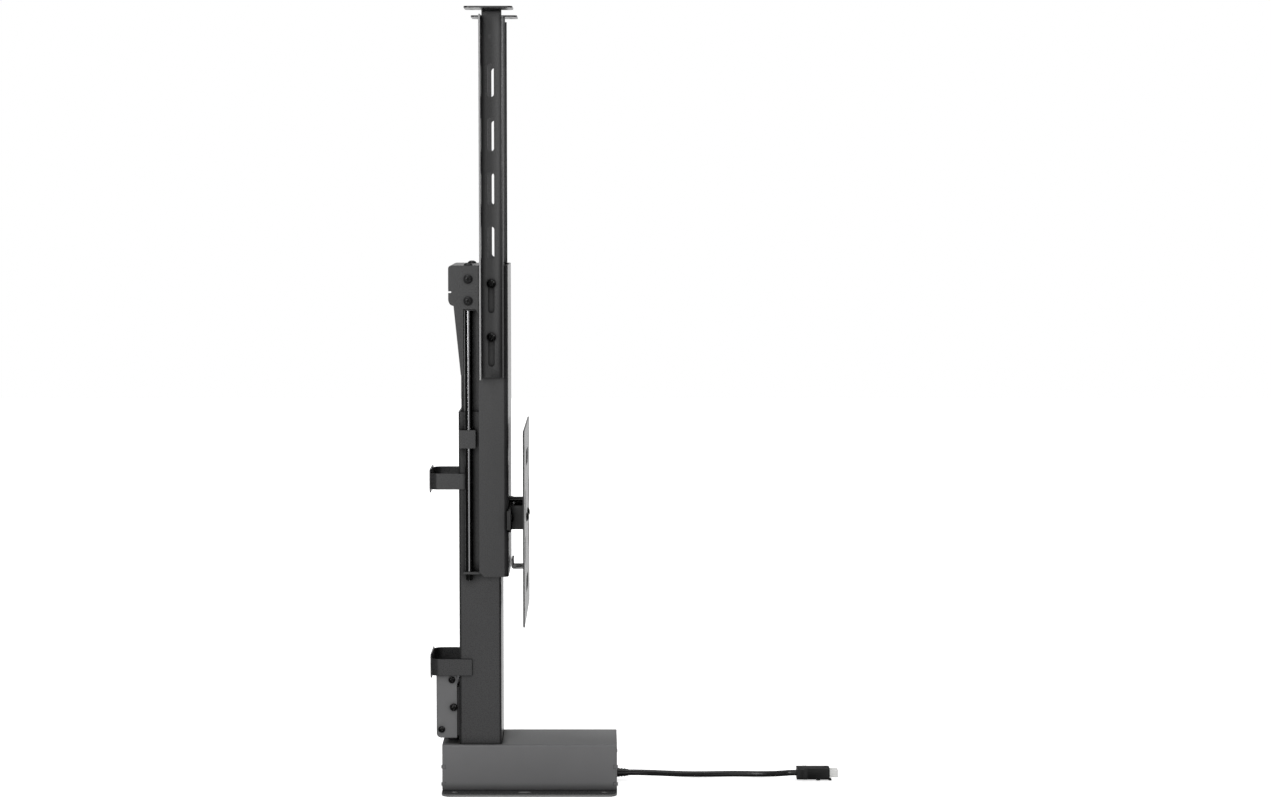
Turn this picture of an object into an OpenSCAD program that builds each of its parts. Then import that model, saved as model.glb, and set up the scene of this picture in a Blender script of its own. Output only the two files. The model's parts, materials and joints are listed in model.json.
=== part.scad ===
// TV lift for a cabinet: a column on a steel base raises a carriage with the screen plate and two lid posts.
// Millimetres. The front faces -Y, Z is up, and the origin is the centre of the anchor holes, under the base.

/* [Base] */
// Depth of the base plate, front to back
base_l = 220.6; // [200:0.2:260]
// Width of the base plate
base_w = 149; // [144:1:190]
// Thickness of the base plate
base_t = 3; // [2:0.5:5]
// Radius of the base plate's corners
base_corner_r = 12; // [4:0.5:14]
// Diameter of the anchor holes
anchor_d = 7; // [5:0.5:9]
// Distance of the anchor holes from the plate's front and rear edges
anchor_end = 15.9; // [12:0.1:24]
// Distance of the anchor holes from the plate's sides
anchor_side = 13; // [9:0.5:15]
// Length of the slot in each side flange
side_slot_l = 16; // [9:1:30]
// Distance of the side slots behind the plate's centre
side_slot_y = 6; // [-20:1:20]
// Width of the base cover
cover_w = 97; // [94:0.5:102]
// Height of the base cover above the base plate
cover_h = 57.6; // [54:0.2:64]
// Sheet thickness of the base cover
cover_t = 1.5; // [1:0.1:2]
// Outer bend radius of the base cover
cover_r = 2.5; // [2.2:0.1:5]
// Sheet thickness of the front and rear panels
panel_t = 1.5; // [1:0.1:2.5]

/* [Column] */
// Width of the column
column_w = 86; // [84:0.5:88]
// Depth of the column
column_d = 52.8; // [51:0.1:55]
// Wall of the column
column_t = 2; // [1.5:0.1:2.2]
// Outer corner radius of the column
column_r = 3; // [2.4:0.1:4]
// Height of the column's mouth above the floor
column_top = 482; // [474:1:500]
// Distance of the column's rear face from the base's rear edge
column_back = 22.1; // [20:0.1:26]
// Thickness of the glide pads in the column's mouth
glide_t = 1; // [0.8:0.1:1.2]
// Running gap between the glide pads and the inner stage
glide_gap = 0.3; // [0.3:0.05:0.5]
// Wall of the inner stage
stage_t = 2; // [1.5:0.1:2.2]
// Length of the inner stage
stage_l = 405; // [395:1:412]

/* [Carriage] */
// Height of the carriage's top above the floor
carriage_top = 665; // [660:1:690]
// Distance from the guide rods' axes to the sleeve's sides, on the inside
sleeve_clear = 8; // [7.8:0.1:10]
// Depth of the carriage sleeve
sleeve_d = 36.5; // [33:0.1:38]
// Length of the carriage sleeve
sleeve_l = 389; // [370:1:400]
// Sheet thickness of the carriage sleeve and the cap
sleeve_t = 2; // [1.5:0.1:2.2]
// Outer radius of the sleeve's front corners
sleeve_r = 6; // [3:0.5:9]
// Space between the sleeve's front wall and the column
sleeve_space = 8; // [6:0.5:10]
// Height of the cap's sides
cap_h = 50; // [48:0.5:54]
// Overhang of the cap behind the column
cap_reach = 11.1; // [11:0.1:18]
// Length of the tapered tail under each side of the cap
cap_tail = 86; // [50:1:96]
// Thickness of the head plate on the inner stage
head_t = 8; // [5:0.5:10]

/* [Guide rods] */
// Diameter of the guide rods
rod_d = 10; // [8:0.5:10.5]
// Distance of the rods' axes from the column's sides
rod_out = 7; // [6.8:0.1:7.2]
// Distance of the rods' axes in front of the column's rear face
rod_in = 13.3; // [13:0.1:13.8]
// Height of the guide brackets
guide_h = 23; // [18:0.5:28]
// Depth of the guide brackets
guide_d = 21; // [19:0.5:23]
// How far the guide brackets stand out from the column
guide_out = 14.5; // [14:0.1:14.6]
// Height of the guide brackets' undersides above the floor
guide_z = 437; // [425:1:445]

/* [Lid posts] */
// Width of a lid post
post_w = 28.6; // [26:0.2:30]
// Depth of a lid post's rear flange
post_flange = 44; // [36:1:50]
// Depth of the short lip at a lid post's front edge
post_lip = 8; // [4:1:14]
// Sheet thickness of the lid posts
post_t = 2; // [1.5:0.1:2.5]
// Height of a lid post
post_l = 454; // [440:1:480]
// Height of the lid posts' tops above the floor
post_top = 980; // [970:1:995]
// Length of the plate on a lid post, front to back
lid_plate_l = 59; // [52:1:70]
// Width of the plate on a lid post
lid_plate_w = 48; // [46:1:60]
// Width of the slots in the lid posts
slot_w = 7.9; // [6.8:0.1:8.5]
// Length of the slots in the lid posts
slot_l = 40.5; // [30:0.5:46]
// Pitch of the slots in the lid posts
slot_pitch = 66.5; // [60:0.5:68]
// Number of slots in each lid post
slot_count = 6; // [3:1:6]

/* [Screen plate] */
// Width of the screen plate
plate_w = 224; // [220:1:280]
// Height of the screen plate
plate_h = 243.2; // [225:0.2:260]
// Thickness of the screen plate
plate_t = 2; // [2:0.5:4]
// Radius of the screen plate's corners
plate_corner_r = 8; // [3:0.5:10]
// Height of the screen plate's centre above the floor
plate_z = 341.3; // [338:0.1:350]
// Distance of the screen plate's back from the sleeve
plate_off = 19.5; // [17:0.5:26]
// Pitch of the outer screen holes
screen_pitch = 200; // [160:20:200]
// Pitch of the inner screen holes
screen_pitch_small = 100; // [75:25:100]
// Width of the cross rail
rail_w = 126; // [124:1:134]
// Height of the cross rail
rail_h = 30; // [28:1:34]
// Width of the hanger bracket
hanger_w = 66; // [58:1:76]
// Height of the hanger bracket
hanger_h = 30; // [26:1:31]

/* [Cable brackets] */
// Reach of the cable brackets behind the column
bracket_reach = 37.5; // [35:0.5:50]
// Sheet thickness of the cable brackets
bracket_t = 1.5; // [1:0.1:1.6]
// Height of the upper bracket's strip
upper_bracket_h = 20; // [14:1:24]
// Height of the lower bracket's strip
lower_bracket_h = 21; // [14:1:26]
// Overlap of the cable brackets on the column's sides
bracket_lap = 16; // [10:0.5:20]
// Outer bend radius of the cable brackets
bracket_r = 12; // [6:0.5:14]
// Height of the upper bracket's underside above the floor
upper_bracket_z = 384; // [370:1:395]
// Height of the lower bracket's underside above the floor
lower_bracket_z = 148; // [144:1:190]

/* [Motor housing] */
// Width of the motor housing
housing_w = 80; // [72:1:84]
// Depth of the motor housing
housing_d = 26; // [26:0.5:32]
// Height of the motor housing
housing_h = 84; // [82:1:92]
// Sheet thickness of the motor housing
housing_t = 1.5; // [1:0.1:2]
// Space between the column and the motor housing
housing_space = 3.5; // [3:0.1:5]
// Space between the base cover and the motor housing
housing_lift = 7.4; // [5:0.2:10]

/* [Drive] */
// Tooth module of the gears
gear_module = 1; // [0.98:0.01:1.02]
// Teeth of the motor's pinion
pinion_teeth = 20; // [18:1:21]
// Teeth of the screw's gear
gear_teeth = 44; // [42:2:44]
// Face width of the screw's gear
gear_w = 10; // [6:0.5:11]
// Backlash of the gears at the pitch circle
backlash = 0.3; // [0.2:0.05:0.5]
// Diameter of the drive screw
screw_d = 16; // [14:0.5:18]
// Diameter of the screw's journal
journal_d = 12; // [9:0.5:12.5]
// Height of the screw's top above the floor
screw_top = 450; // [442:1:470]
// Height of the drive nut
nut_h = 25; // [18:0.5:25]

/* [Fasteners] */
// Diameter of the bolts' shanks
bolt_d = 6; // [5:0.5:6.2]
// Diameter of the bolts' heads
bolt_head_d = 11; // [10:0.5:12]
// Height of the bolts' heads
bolt_head_h = 3.3; // [2.5:0.1:4]

/* [Cable] */
// Diameter of the cable
cable_d = 7.5; // [6:0.5:7.5]
// Length of the connector's body
connector_l = 42; // [34:1:48]
// Height of the connector's body
connector_h = 15; // [12:0.5:15]

/* [Hidden] */
$fn = 48;

// Overshoot of cutting shapes, and the clearances that several pieces share
cut = 1;
fit = 0.06;
gap = 0.3;
seat = 0.5;

dark = [0.25, 0.25, 0.26];
grey = [0.38, 0.38, 0.39];
black = [0.08, 0.08, 0.08];
steel = [0.6, 0.61, 0.62];
zinc = [0.75, 0.75, 0.73];
plastic = [0.15, 0.15, 0.16];
ivory = [0.9, 0.9, 0.88];
board = [0.1, 0.35, 0.2];

// Column and the axis of the drive
column_rear = base_l / 2 - column_back;
column_front = column_rear - column_d;
axis_y = column_rear - column_d / 2;
cover_top = base_t + cover_h;
stage_gap = glide_t + glide_gap;
stage_w = column_w - 2 * (column_t + stage_gap);
stage_d = column_d - 2 * (column_t + stage_gap);
glide_h = 36;
glide_w = 30;
glide_drop = 3;

// Carriage
sleeve_front = column_front - sleeve_space - sleeve_t;
sleeve_rear = sleeve_front + sleeve_d;
sleeve_in = column_w / 2 + rod_out + sleeve_clear;
sleeve_x = sleeve_in + sleeve_t;
sleeve_w = 2 * sleeve_x;
sleeve_bottom = carriage_top - sleeve_l;
cap_rear = column_rear + cap_reach;
cap_bottom = carriage_top - cap_h;
cap_roof = carriage_top - sleeve_t;
stage_top = cap_roof - head_t;
stage_bottom = stage_top - stage_l;
stage_r = column_r - 0.6;
stage_in_r = max(stage_r - stage_t, 0.2);
cap_bolt_drop = [17, 44];
cap_bolt_z = [for (drop = cap_bolt_drop) carriage_top - drop];
cap_notch = 33;
cap_edge = cap_bottom - 4;

// Guide rods
rod_x = column_w / 2 + rod_out;
rod_y = column_rear - rod_in;
rod_head_drop = 6;
rod_top = cap_bottom - rod_head_drop;
rod_spigot_d = 8;
rod_spigot_l = 7;
rod_foot_t = 3;
rod_foot_z = sleeve_bottom + 3;
rod_bottom = rod_foot_z + rod_foot_t;
rod_foot_gap = 2;
rod_stud_d = 5;
rod_nut_w = 8;
rod_nut_h = 4;
rod_nut_count = 2;
rod_head_w = 12;
rod_head_l = 20;
cap_bolt_y = rod_y - 0.3;
clamp_l = 3;
roof_bolt_l = 10;
guide_t = 1.5;
guide_y = column_rear - guide_d - 1.2;

// Lid posts
post_y = sleeve_front + 19.1;
slot_y = post_y + 1.3;
post_x = sleeve_x + gap;
post_bottom = post_top - post_l;
slot_start = 54.1;
first_slot = post_bottom + slot_start;
washer_t = 0.6;
post_relief = 5;
lid_hole_d = 5;
lid_hole_x = 28;
lid_hole_y = 42;
lid_bend_r = 4;
lid_shift = 2.3;
post_bolt_z = [first_slot - slot_w / 2, first_slot + slot_pitch - slot_w / 2];
post_nut_h = 5;
post_nut_w = 10;

// Screen plate
plate_back = sleeve_front - plate_off;
plate_front = plate_back - plate_t;
rail_t = 3;
rail_lip = 5;
rail_front = sleeve_front - rail_t;
rail_z = plate_z - 9;
hanger_t = 2.5;
tab_w = 34;
tab_t = 2.5;
tab_drop = 61.5;
tab_z = plate_z - tab_drop;
plate_side_slot = [34, 16];
plate_end_slot = [70, 20];
tab_reach = 17.4;
tab_lip = 12.5;
hanger_bolt_d = 7;
hanger_collar_d = 8.2;
hanger_bolt_z = rail_z + max(hanger_h, rail_h) + hanger_collar_d / 2 + 0.2;
rail_bolt_x = 44;
rail_bolt_z = rail_z + 15;
plate_bolt_x = hanger_w / 2 - 8;
plate_bolt_z = rail_z + hanger_h / 2;

// Motor housing and gears
housing_y = column_rear + housing_space;
housing_z = cover_top + housing_lift;
housing_r = 6;
ear_t = 1.6;
ear_l = housing_d + housing_space - housing_t - 1.5;
housing_screw_d = 4;
housing_screw_places = [
    [housing_y + 6.3, housing_z + housing_h - 10],
    [housing_y + 4.3, housing_z + 39],
    [housing_y + 19.5, housing_z + 10.7]
];
pitch_r = gear_module * gear_teeth / 2;
pinion_r = gear_module * pinion_teeth / 2;
gear_z = housing_z + 10;
pinion_y = axis_y + pitch_r + pinion_r;
gearbox_z = gear_z + gear_w + 6;
gearbox_h = 18;
motor_shaft_d = 6;
motor_d = 21;
bearing_t = 6;
lower_bearing_z = gear_z - 3 - 0.4 - bearing_t;
upper_bearing_z = gear_z + gear_w + 2;
guide_disc_t = 6;
grommet_w = 22;
grommet_d = 10;
grommet_r = 2;
grommet_y = housing_y + grommet_d / 2 + 1.5;
mount_plate_h = 62;
window_w = 28;
window_z = gear_z - 4;
window_h = gear_w + 8;

// Base
notch_l = 3;
notch_h = 5;
notch_z = [8, 30];
panel_lip = 6;
cover_lip = 8;
foot_t = 4;
foot_reach = 18;
foot_margin = 6.1;
rear_reach = column_back - foot_margin;
foot_bolt_x = 31;
foot_rows = [column_front - foot_reach / 2, column_rear + rear_reach / 2];
board_w = 72;
board_l = 96;
board_t = 1.6;
board_y = -base_l / 2 + 12;
board_z = base_t + 7;

// Cable, laid by hand: out of the gland, down to the floor, along it in a slight bow and up to the connector.
// Each point holds its place across, its distance in front of the gland's tip, and its height.
gland_x = 18;
gland_z = 10.3;
gland_l = 15;
cable_sides = 10;
connector_w = 18;
cable_way = [
    [gland_x, 0, gland_z], [gland_x, 10.7, gland_z], [19.5, 24.7, 9.6], [22.5, 39.7, 8.4], [26, 54.7, 7],
    [29.5, 70.7, 5.6], [33, 86.7, 4.6], [36, 102.7, 4], [38, 118.7, 3.8], [39, 134.7, 3.8], [38.5, 150.7, 3.8],
    [36.5, 164.7, 4], [33, 177.7, 4.8], [28, 189.7, 6.2], [23.5, 200.7, 7.9], [20.5, 208.7, 9.2], [20, 216.7, 9.5]
];
cable_route = [for (p = cable_way) [p[0], -base_l / 2 - gland_l - p[1], p[2]]];
cable_end = cable_route[len(cable_route) - 1];

// Shared shapes

module round_rect(w, d, r) {
    square([w - 2 * r, d], center = true);
    square([w, d - 2 * r], center = true);
    for (x = [-1, 1], y = [-1, 1])
        translate([x * (w / 2 - r), y * (d / 2 - r)])
            circle(r);
}

module round_tube(w, d, r, t) {
    difference() {
        round_rect(w, d, r);
        round_rect(w - 2 * t, d - 2 * t, max(r - t, 0.2));
    }
}

module slot(l, w) {
    square([w, l - w], center = true);
    for (s = [-1, 1])
        translate([0, s * (l - w) / 2])
            circle(d = w);
}

module both_sides() {
    children();
    mirror([1, 0, 0])
        children();
}

module on_side(side) {
    if (side < 0)
        children();
    else
        mirror([1, 0, 0])
            children();
}

// Turns a shape that is drawn in X and Z into a sheet that starts at y and runs towards +Y
module along_y(y, l) {
    translate([0, y + l, 0])
        rotate([90, 0, 0])
            linear_extrude(l)
                children();
}

// Turns a shape that is drawn in Y and Z into a sheet that starts at x and runs towards +X
module along_x(x, l) {
    translate([x, 0, 0])
        rotate([90, 0, 90])
            linear_extrude(l)
                children();
}

// Button head with a hex socket on a shank that runs down from z = 0
module button_bolt(shank_l, d = bolt_d, head = bolt_head_d, h = bolt_head_h) {
    dome = (pow(head / 2, 2) + pow(0.75 * h, 2)) / (1.5 * h);
    difference() {
        union() {
            translate([0, 0, -shank_l])
                cylinder(d = d, h = shank_l);
            intersection() {
                cylinder(d = head, h = h);
                translate([0, 0, h - dome])
                    sphere(dome);
            }
        }
        translate([0, 0, h * 0.45])
            cylinder(d = head * 0.42, h = h, $fn = 6);
    }
}

// Nut that lies on z = 0
module hex_nut(w, h, bore) {
    difference() {
        cylinder(d = w / cos(30), h = h, $fn = 6);
        translate([0, 0, -cut])
            cylinder(d = bore, h = h + 2 * cut);
    }
}

// Involute gear: a point of the tooth's flank at radius r, on the side given by s
function gear_turn(a) = tan(a) * 180 / PI - a;
function flank_angle(z, r) =
    let (rp = gear_module * z / 2, rb = rp * cos(20), half = 90 / z - backlash / rp * 45 / PI)
    half + gear_turn(20) - gear_turn(acos(min(1, rb / r)));
function flank_point(z, r, s, mid) = let (a = mid + s * flank_angle(z, r)) [r * cos(a), r * sin(a)];
function tooth_points(z, mid) =
    let (rp = gear_module * z / 2, rb = rp * cos(20), low = rp - 1.25 * gear_module, high = rp + gear_module)
    let (root = flank_angle(z, rb), radii = [for (i = [0:3]) max(rb, low) + (high - max(rb, low)) * i / 3])
    concat(
        [[low * cos(mid - root), low * sin(mid - root)]],
        [for (i = [0:3]) flank_point(z, radii[i], -1, mid)],
        [for (i = [3:-1:0]) flank_point(z, radii[i], 1, mid)],
        [[low * cos(mid + root), low * sin(mid + root)]]
    );

module gear_outline(z, first) {
    polygon([for (i = [0:z - 1]) each tooth_points(z, first + i * 360 / z)]);
}

// Base

module base_plate() {
    color(dark)
        linear_extrude(base_t)
            difference() {
                round_rect(base_w, base_l, base_corner_r);
                for (x = [-1, 1], y = [-1, 1])
                    translate([x * (base_w / 2 - anchor_side), y * (base_l / 2 - anchor_end)])
                        circle(d = anchor_d);
                for (x = [-1, 1])
                    translate([x * (base_w / 2 - anchor_side), side_slot_y])
                        slot(side_slot_l, anchor_d);
            }
}

module base_cover() {
    lip = cover_lip;
    l = base_l - 2 * panel_t;
    color(grey)
        difference() {
            along_y(-l / 2, l)
                difference() {
                    union() {
                        translate([0, base_t + (cover_h - cover_r) / 2])
                            square([cover_w, cover_h - cover_r], center = true);
                        translate([0, cover_top - cover_h / 2])
                            round_rect(cover_w, cover_h, cover_r);
                    }
                    translate([0, base_t + (cover_h - cover_t) / 2 + cover_t / 2 - cut])
                        square([cover_w - 2 * (cover_t + lip), cover_h - cover_t + 2 * cut], center = true);
                    translate([-cover_w / 2 + cover_t, base_t + cover_t])
                        square([cover_w - 2 * cover_t, cover_h - 2 * cover_t]);
                    translate([-cover_w / 2 + cover_t + lip, base_t + cover_h - 2 * cover_t])
                        square([cover_w - 2 * cover_t - 2 * lip, cover_t]);
                }
            translate([0, axis_y, base_t - cut])
                linear_extrude(cover_h + 2 * cut)
                    round_rect(column_w + 2 * seat, column_d + 2 * seat, column_r + seat);
            translate([0, grommet_y, cover_top - 2 * cover_t])
                linear_extrude(4 * cover_t)
                    round_rect(grommet_w, grommet_d, grommet_r);
            for (x = [-1, 1], y = [-1, 1], z = notch_z)
                translate([x * cover_w / 2, y * l / 2, z + notch_h / 2])
                    cube([4 * cover_t, 2 * notch_l, notch_h], center = true);
        }
}

// End panel of the base, with tabs that hook into the cover's notches
module end_panel() {
    w = cover_w - 2 * cover_t;
    along_y(0, panel_t)
        translate([0, base_t + cover_h / 2])
            difference() {
                round_rect(cover_w, cover_h, cover_r);
                translate([-cover_w / 2 - cut, -cover_h / 2 - cover_r])
                    square([cover_w + 2 * cut, cover_r]);
            }
    for (x = [-1, 1], z = notch_z)
        translate([x * (cover_w / 2 - cover_t / 2), panel_t, z + notch_h / 2])
            cube([cover_t, 2 * (notch_l - gap), notch_h - 2 * gap], center = true);
    translate([-w / 2 + gap, panel_t, cover_top - cover_t - gap - panel_lip])
        cube([w - 2 * gap, panel_t, panel_lip]);
}

module front_panel() {
    color(grey)
        difference() {
            translate([0, -base_l / 2, 0])
                end_panel();
            along_y(-base_l / 2 - cut, panel_t + 2 * cut)
                translate([gland_x, gland_z])
                    circle(d = cable_d + 1);
        }
}

module rear_panel() {
    color(grey)
        mirror([0, 1, 0])
            difference() {
                translate([0, -base_l / 2, 0])
                    end_panel();
                along_y(-base_l / 2 - cut, panel_t + 2 * cut)
                    for (i = [-3:3])
                        translate([i * 6, base_t + cover_h * 0.35])
                            slot(16, 2.4);
            }
}

// Board with its parts on four posts, in the front of the base
module control_board() {
    post_in = 5;
    top = board_z + board_t;
    part_h = board_t * 14;
    row = board_y + board_l * 0.6;
    color(board) {
        translate([-board_w / 2, board_y, board_z])
            cube([board_w, board_l, board_t]);
        for (x = [-1, 1], e = [0, 1])
            translate([x * (board_w / 2 - post_in), board_y + post_in + e * (board_l - 2 * post_in), base_t])
                cylinder(d = 2 * post_in - 4, h = board_z - base_t);
        translate([-board_w / 9, board_y + board_l / 12, top])
            cube([board_w * 0.47, board_l * 0.3, part_h]);
        for (x = [-0.36, 0.14, 0.36])
            translate([x * board_w, row, top])
                cylinder(d = board_w * 0.18, h = part_h);
        for (x = [-0.42, -0.11])
            translate([x * board_w, row + board_l * 0.15, top])
                cube([board_w * 0.26, board_l * 0.16, part_h * 0.7]);
        translate([board_w * 0.2, row + board_l * 0.17, top])
            cube([board_w * 0.22, board_l * 0.08, part_h / 2]);
    }
}

module column_foot() {
    l = column_d + foot_reach + rear_reach;
    color(dark)
        translate([0, 0, base_t])
            linear_extrude(foot_t)
                difference() {
                    translate([0, column_front - foot_reach + l / 2])
                        square([cover_w - 2 * (cover_t + cover_lip) - 2, l], center = true);
                    translate([0, axis_y])
                        round_rect(column_w + 0.02, column_d + 0.02, column_r);
                    for (x = [-1, 1], y = foot_rows)
                        translate([x * foot_bolt_x, y])
                            circle(d = bolt_d + 0.6);
                }
}

module foot_bolts() {
    color(zinc)
        for (x = [-1, 1], y = foot_rows)
            translate([x * foot_bolt_x, y, base_t + foot_t])
                button_bolt(foot_t);
}

// Column

module outer_column() {
    color(dark)
        difference() {
            translate([0, axis_y, base_t])
                linear_extrude(column_top - base_t)
                    round_tube(column_w, column_d, column_r, column_t);
            translate([-window_w / 2, column_rear - 2 * column_t, window_z])
                cube([window_w, 4 * column_t, window_h]);
        }
}

// Four pads in the column's mouth, on which the inner stage slides
module glide_pads() {
    z = column_top - glide_drop - glide_h;
    color(plastic)
        translate([0, axis_y, z])
            for (s = [-1, 1]) {
                translate([-glide_w / 2, s * (column_d / 2 - column_t - glide_t / 2) - glide_t / 2, 0])
                    cube([glide_w, glide_t, glide_h]);
                translate([s * (column_w / 2 - column_t - glide_t / 2) - glide_t / 2, -glide_w / 3, 0])
                    cube([glide_t, glide_w * 2 / 3, glide_h]);
            }
}

// Sheet strap that holds the bush against the column's side, drawn on the left
module guide_bracket(side) {
    color(dark)
        on_side(side)
            translate([0, 0, guide_z])
                linear_extrude(guide_h)
                    difference() {
                        translate([-column_w / 2 - guide_out, guide_y])
                            square([guide_out, guide_d]);
                        translate([-column_w / 2 - guide_out + guide_t, guide_y + guide_t])
                            square([guide_out, guide_d - 2 * guide_t]);
                    }
}

module guide_bush(side) {
    color(plastic)
        on_side(side)
            translate([0, 0, guide_z])
                linear_extrude(guide_h)
                    difference() {
                        translate([-column_w / 2 - guide_out + guide_t, guide_y + guide_t])
                            square([guide_out - guide_t, guide_d - 2 * guide_t]);
                        translate([-rod_x, rod_y])
                            circle(d = rod_d + 2 * fit);
                    }
}

// Bent strip round the column's rear, with a taller bar across the back
module cable_bracket(z, h) {
    w = column_w + 2 * bracket_t;
    l = bracket_lap + bracket_reach;
    y = column_rear - bracket_lap;
    rise = 4;
    lip = 6;
    bar = w - 2 * bracket_r;
    color(dark) {
        translate([0, 0, z])
            linear_extrude(h)
                intersection() {
                    translate([0, y])
                        round_tube(w, 2 * l, bracket_r, bracket_t);
                    translate([-w / 2, y])
                        square([w, l]);
                }
        along_y(y + l - bracket_t, bracket_t)
            translate([0, z])
                polygon([
                    [-bar / 2, 0], [-bar / 2 + lip, -lip], [bar / 2 - lip, -lip], [bar / 2, 0],
                    [bar / 2, h], [bar / 2 - rise, h + rise], [-bar / 2 + rise, h + rise], [-bar / 2, h]
                ]);
    }
}

module upper_cable_bracket() {
    cable_bracket(upper_bracket_z, upper_bracket_h);
}

module lower_cable_bracket() {
    cable_bracket(lower_bracket_z, lower_bracket_h);
}

// Motor and gears

module motor_bracket() {
    w = housing_w - 2 * housing_t;
    low = housing_z + housing_t + 1;
    high = housing_z + housing_h - housing_t - 2;
    seam = low + mount_plate_h;
    color(dark) {
        difference() {
            along_y(column_rear, 2)
                translate([-w / 2, low])
                    square([w, seam - low]);
            translate([-window_w / 2, column_rear - cut, window_z])
                cube([window_w, 2 + 2 * cut, window_h]);
        }
        both_sides()
            along_x(-w / 2, ear_t)
                difference() {
                    polygon([
                        [column_rear, low], [column_rear + ear_l - 6, low], [column_rear + ear_l, low + 6],
                        [column_rear + ear_l, high], [housing_y + 1, high], [housing_y + 1, seam],
                        [column_rear, seam]
                    ]);
                    for (p = housing_screw_places)
                        translate(p)
                            circle(d = housing_screw_d + 0.02);
                }
    }
}

module housing_outline(in) {
    r = max(housing_r - in, 0.5);
    y0 = housing_y;
    y1 = housing_y + housing_d - in;
    z0 = housing_z + in;
    z1 = housing_z + housing_h - in;
    translate([y0, z0 + r])
        square([y1 - y0, z1 - z0 - 2 * r]);
    translate([y0, z0])
        square([y1 - y0 - r, z1 - z0]);
    for (z = [z0 + r, z1 - r])
        translate([y1 - r, z])
            circle(r);
}

// Folded cover, open to the front
module motor_housing() {
    color(grey)
        difference() {
            along_x(-housing_w / 2, housing_w)
                housing_outline(0);
            along_x(-housing_w / 2 + housing_t, housing_w - 2 * housing_t)
                union() {
                    housing_outline(housing_t);
                    translate([housing_y - cut, housing_z + housing_t])
                        square([housing_d / 2, housing_h - 2 * housing_t]);
                }
            along_x(-housing_w, 2 * housing_w)
                for (p = housing_screw_places)
                    translate(p)
                        circle(d = housing_screw_d + 0.02);
        }
}

module housing_screws() {
    color(black)
        both_sides()
            for (i = [0:2])
                translate([-housing_w / 2, housing_screw_places[i][0], housing_screw_places[i][1]])
                    rotate([0, -90, 0])
                        button_bolt(housing_t + ear_t, housing_screw_d, i == 1 ? 9.5 : 8.5, i == 1 ? 4.5 : 3.5);
}

module gearbox() {
    y = column_rear + 2;
    color(steel)
        difference() {
            union() {
                translate([-15, y, gearbox_z])
                    cube([30, housing_d + housing_space - housing_t - 2 - 2, gearbox_h]);
                translate([0, pinion_y, gearbox_z - 3])
                    cylinder(d = min(10, 2 * (pinion_y - y - gap)), h = 3);
            }
            translate([0, pinion_y, gearbox_z - 3 - cut])
                cylinder(d = motor_shaft_d + 2 * fit, h = 14 + cut);
        }
}

module motor() {
    y = column_rear + 2 + motor_d / 2 + 1.5;
    z = gearbox_z + gearbox_h;
    h = housing_z + housing_h - housing_t - 3 - z;
    color(steel) {
        translate([0, y, z])
            cylinder(d = motor_d, h = h - 3);
        translate([0, y, z + h - 3])
            cylinder(d = 8, h = 3);
        translate([-6, column_rear + 2, z])
            cube([12, 6, h - 6]);
    }
}

module motor_pinion() {
    color(zinc)
        translate([0, pinion_y, 0]) {
            translate([0, 0, gear_z])
                linear_extrude(gear_w)
                    gear_outline(pinion_teeth, -90 + 180 / pinion_teeth);
            translate([0, 0, gear_z - 2])
                cylinder(d = motor_shaft_d, h = gearbox_z + 10.5 - gear_z + 2);
        }
}

module screw_gear() {
    color(plastic)
        translate([0, axis_y, 0])
            difference() {
                union() {
                    translate([0, 0, gear_z])
                        linear_extrude(gear_w)
                            gear_outline(gear_teeth, 90);
                    translate([0, 0, gear_z - 3])
                        cylinder(d = journal_d + 8, h = 3);
                }
                translate([0, 0, gear_z - 3 - cut])
                    cylinder(d = journal_d + 0.02, h = gear_w + 3 + 2 * cut);
                for (a = [0:60:300])
                    rotate(a)
                        translate([pitch_r * 0.62, 0, gear_z - cut])
                            cylinder(d = 5, h = gear_w + 2 * cut);
            }
}

// Carrier plate across the column with a round housing for the screw's journal
module bearing_carrier(z) {
    color(zinc)
        translate([0, axis_y, z])
            difference() {
                linear_extrude(bearing_t)
                    round_rect(column_w - 2 * column_t, column_d - 2 * column_t, max(column_r - column_t, 0.2));
                translate([0, 0, -cut])
                    cylinder(d = journal_d + 2 * fit, h = bearing_t + 2 * cut);
            }
}

module lower_bearing() {
    bearing_carrier(lower_bearing_z);
}

module upper_bearing() {
    bearing_carrier(upper_bearing_z);
}

// Screw with its journal below, drawn with plain crests
module drive_screw() {
    shoulder = upper_bearing_z + bearing_t + 0.4;
    color(steel)
        translate([0, axis_y, 0]) {
            translate([0, 0, lower_bearing_z - 2])
                cylinder(d = journal_d, h = shoulder - lower_bearing_z + 2);
            translate([0, 0, shoulder])
                cylinder(d = screw_d, h = screw_top - guide_disc_t - shoulder);
            translate([0, 0, screw_top - guide_disc_t])
                cylinder(d = journal_d - 2, h = guide_disc_t);
        }
}

// Disc that centres the screw's free end in the inner stage
module screw_guide() {
    color(ivory)
        translate([0, axis_y, screw_top - guide_disc_t])
            difference() {
                cylinder(d = stage_d - 2 * stage_t - 1, h = guide_disc_t);
                translate([0, 0, -cut])
                    cylinder(d = journal_d - 2 + 0.02, h = guide_disc_t + 2 * cut);
                for (a = [0:60:300])
                    rotate(a)
                        translate([13, 0, -cut])
                            cylinder(d = 6, h = guide_disc_t + 2 * cut);
            }
}

module wire_grommet() {
    color(black)
        translate([0, grommet_y, cover_top]) {
            linear_extrude(housing_lift)
                round_rect(grommet_w + 4, grommet_d + 3, grommet_r + 1);
            translate([0, 0, -cover_t - 1])
                linear_extrude(cover_t + 1)
                    round_rect(grommet_w - 0.02, grommet_d - 0.02, grommet_r);
        }
}

// Cable

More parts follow.
